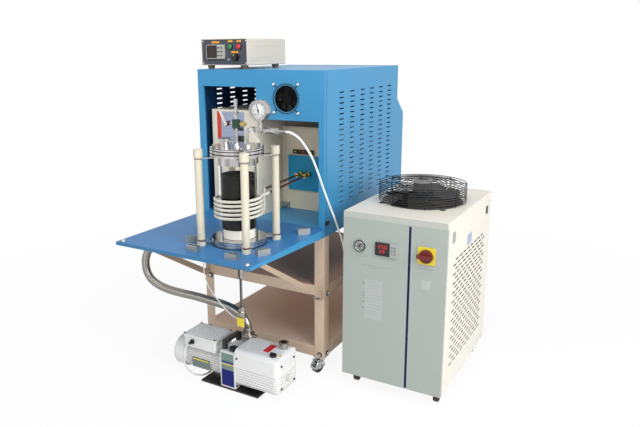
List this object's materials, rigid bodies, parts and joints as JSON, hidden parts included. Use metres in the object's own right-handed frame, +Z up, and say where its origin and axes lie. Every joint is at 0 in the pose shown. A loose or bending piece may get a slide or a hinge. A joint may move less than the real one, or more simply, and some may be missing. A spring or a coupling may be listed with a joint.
{
  "type": "induction heating system",
  "caption": "Bench-height cabinet on a wheeled frame with a coil-heated clear tube furnace on its front table, a vacuum pump below it and a wheeled recirculating water cooler beside it",
  "frame": {"origin": "on the floor, in the middle of the footprint of everything but the free hoses and cords", "axes": "+X to the right seen from the front, -Y to the front, +Z up"},
  "size_m": [1.5157, 1.598, 1.587],
  "materials": {
    "cabinet_paint": "satin sky-blue powder coat",
    "module_paint": "satin cream",
    "frame_paint": "satin pinkish beige",
    "shelf_paint": "satin brown",
    "zinc": "bright zinc plated",
    "tyre": "dark rubber",
    "steel": "polished stainless steel",
    "plain_steel": "fine turned stainless steel",
    "cast_aluminium": "dull milled aluminium",
    "copper": "dark oxidised copper with brass unions",
    "coil_sleeve": "white glass-fibre sleeve over copper tube",
    "white_ceramic": "matte white ceramic",
    "graphite": "matte black graphite",
    "quartz": "clear fused quartz",
    "black_rubber": "matte black",
    "rod_ceramic": "cream glazed ceramic",
    "case_paint": "fine textured light beige",
    "panel_slate": "dark slate anodised panel",
    "green_plastic": "gloss green",
    "red_plastic": "gloss red",
    "black_plastic": "matte black",
    "pump_paint": "semi-gloss white",
    "hose_steel": "corrugated stainless steel",
    "white_tube": "white polyurethane",
    "cord_grey": "light grey cable sheath",
    "chiller_cream": "satin cream",
    "chiller_green": "satin light grey-green",
    "black_wire": "black coated wire"
  },
  "bodies": {
    "system": {"trolley_frame": "frame_paint", "trolley_shelves": "shelf_paint", "caster_plates": "zinc", "cabinet_front": "cabinet_paint", "cabinet_shell": "cabinet_paint", "work_table": "cabinet_paint", "cover_catches": "cast_aluminium", "generator_modules": "module_paint", "fan_frame": "black_plastic", "work_coil": "coil_sleeve", "copper_leads": "copper", "control_case": "case_paint", "control_panel": "panel_slate", "chamber_flanges": "steel", "chamber_seals": "black_rubber", "quartz_tube": "quartz", "crucible": "graphite", "pedestal": "white_ceramic", "clamp_rods": "rod_ceramic", "lid_fittings": "steel", "gauge_case": "steel", "pump_motor": "pump_paint", "pump_block": "pump_paint", "pump_base": "black_wire", "oil_case": "pump_paint", "pump_fittings": "plain_steel", "vacuum_hose": "hose_steel", "gas_tube": "white_tube", "gas_tube_coil": "white_tube", "sensor_cable": "white_tube", "pump_cord": "cord_grey", "pump_cord_coil": "cord_grey", "pump_plug": "cord_grey", "chiller_shell": "chiller_cream", "chiller_front": "chiller_green", "fan_cage": "black_wire", "chiller_instruments": "panel_slate"},
    "fan_rotor_body": {"fan_rotor": "black_plastic"},
    "start_button_body": {"start_button": "green_plastic"},
    "stop_button_body": {"stop_button": "red_plastic"},
    "power_knob_body": {"power_knob": "black_plastic"},
    "lid_valve_lever_body": {"lid_valve_lever": "plain_steel"},
    "gas_valve_lever_body": {"gas_valve_lever": "plain_steel"},
    "gauge_needle_body": {"gauge_needle": "black_plastic"},
    "ballast_knob_body": {"ballast_knob": "black_plastic"},
    "chiller_fan_body": {"chiller_fan": "black_wire"},
    "chiller_needle_body": {"chiller_needle": "black_plastic"},
    "switch_knob_body": {"switch_knob": "red_plastic"},
    "cart_fork_left_body": {"cart_fork_left": "zinc"},
    "cart_wheel_front_left_body": {"cart_wheel_front_left": "tyre"},
    "cart_wheel_rear_left_body": {"cart_wheel_rear_left": "tyre"},
    "cart_fork_right_body": {"cart_fork_right": "zinc"},
    "cart_wheel_front_right_body": {"cart_wheel_front_right": "tyre"},
    "cart_wheel_rear_right_body": {"cart_wheel_rear_right": "tyre"},
    "chiller_fork_left_body": {"chiller_fork_left": "zinc"},
    "chiller_wheel_front_left_body": {"chiller_wheel_front_left": "tyre"},
    "chiller_wheel_rear_left_body": {"chiller_wheel_rear_left": "tyre"},
    "chiller_fork_right_body": {"chiller_fork_right": "zinc"},
    "chiller_wheel_front_right_body": {"chiller_wheel_front_right": "tyre"},
    "chiller_wheel_rear_right_body": {"chiller_wheel_rear_right": "tyre"}
  },
  "joints": [
    {"name": "cabinet_fan_spin", "type": "hinge", "parent": "system", "child": "fan_rotor_body", "pos_m": [-0.142, -0.172, 1.3172], "axis": [0, 1, 0], "continuous": true},
    {"name": "start_button_push", "type": "slide", "parent": "system", "child": "start_button_body", "axis": [0, 1, 0], "range_m": [0, 0.004], "stiffness_N_per_m": 300},
    {"name": "stop_button_push", "type": "slide", "parent": "system", "child": "stop_button_body", "axis": [0, 1, 0], "range_m": [0, 0.004], "stiffness_N_per_m": 300},
    {"name": "power_knob_turn", "type": "hinge", "parent": "system", "child": "power_knob_body", "pos_m": [-0.44, -0.153, 1.501], "axis": [0, 1, 0], "range_deg": [-135, 135]},
    {"name": "lid_valve_turn", "type": "hinge", "parent": "system", "child": "lid_valve_lever_body", "pos_m": [-0.214, -0.544, 1.239], "axis": [0, 1, 0], "range_deg": [-62, 28]},
    {"name": "gas_valve_turn", "type": "hinge", "parent": "system", "child": "gas_valve_lever_body", "pos_m": [-0.088, -0.544, 1.219], "axis": [0, 1, 0], "range_deg": [-48, 42]},
    {"name": "gauge_needle_swing", "type": "hinge", "parent": "system", "child": "gauge_needle_body", "pos_m": [-0.052, -0.561, 1.298], "axis": [0, 1, 0], "range_deg": [-120, 150]},
    {"name": "ballast_knob_turn", "type": "hinge", "parent": "system", "child": "ballast_knob_body", "pos_m": [-0.246, -0.508, 0.19], "axis": [0, 0, 1], "range_deg": [0, 90]},
    {"name": "chiller_fan_spin", "type": "hinge", "parent": "system", "child": "chiller_fan_body", "pos_m": [0.4115, 0.1105, 0.85], "axis": [0, 0, 1], "continuous": true},
    {"name": "chiller_needle_swing", "type": "hinge", "parent": "system", "child": "chiller_needle_body", "pos_m": [0.258, -0.249, 0.697], "axis": [0, 1, 0], "range_deg": [-175, 95]},
    {"name": "main_switch_turn", "type": "hinge", "parent": "system", "child": "switch_knob_body", "pos_m": [0.56, -0.252, 0.697], "axis": [0, 1, 0], "range_deg": [0, 90]},
    {"name": "cart_swivel_left", "type": "hinge", "parent": "system", "child": "cart_fork_left_body", "pos_m": [-0.615, -0.162, 0.06], "axis": [0, 0, 1], "continuous": true},
    {"name": "cart_wheel_front_left_roll", "type": "hinge", "parent": "cart_fork_left_body", "child": "cart_wheel_front_left_body", "pos_m": [-0.60879, -0.18518, 0.031], "axis": [0.9659, 0.2588, 0], "continuous": true},
    {"name": "cart_swivel_right", "type": "hinge", "parent": "system", "child": "cart_fork_right_body", "pos_m": [0.025, -0.162, 0.06], "axis": [0, 0, 1], "continuous": true},
    {"name": "cart_wheel_front_right_roll", "type": "hinge", "parent": "cart_fork_right_body", "child": "cart_wheel_front_right_body", "pos_m": [0.01879, -0.18518, 0.031], "axis": [0.9659, -0.2588, 0], "continuous": true},
    {"name": "cart_wheel_rear_left_roll", "type": "hinge", "parent": "system", "child": "cart_wheel_rear_left_body", "pos_m": [-0.615, 0.643, 0.031], "axis": [1, 0, 0], "continuous": true},
    {"name": "cart_wheel_rear_right_roll", "type": "hinge", "parent": "system", "child": "cart_wheel_rear_right_body", "pos_m": [0.025, 0.643, 0.031], "axis": [1, 0, 0], "continuous": true},
    {"name": "chiller_swivel_left", "type": "hinge", "parent": "system", "child": "chiller_fork_left_body", "pos_m": [0.218, -0.18, 0.06], "axis": [0, 0, 1], "continuous": true},
    {"name": "chiller_wheel_front_left_roll", "type": "hinge", "parent": "chiller_fork_left_body", "child": "chiller_wheel_front_left_body", "pos_m": [0.218, -0.156, 0.025], "axis": [-1, 0, 0], "continuous": true},
    {"name": "chiller_swivel_right", "type": "hinge", "parent": "system", "child": "chiller_fork_right_body", "pos_m": [0.605, -0.18, 0.06], "axis": [0, 0, 1], "continuous": true},
    {"name": "chiller_wheel_front_right_roll", "type": "hinge", "parent": "chiller_fork_right_body", "child": "chiller_wheel_front_right_body", "pos_m": [0.605, -0.156, 0.025], "axis": [-1, 0, 0], "continuous": true},
    {"name": "chiller_wheel_rear_left_roll", "type": "hinge", "parent": "system", "child": "chiller_wheel_rear_left_body", "pos_m": [0.218, 0.401, 0.025], "axis": [1, 0, 0], "continuous": true},
    {"name": "chiller_wheel_rear_right_roll", "type": "hinge", "parent": "system", "child": "chiller_wheel_rear_right_body", "pos_m": [0.605, 0.401, 0.025], "axis": [1, 0, 0], "continuous": true}
  ]
}
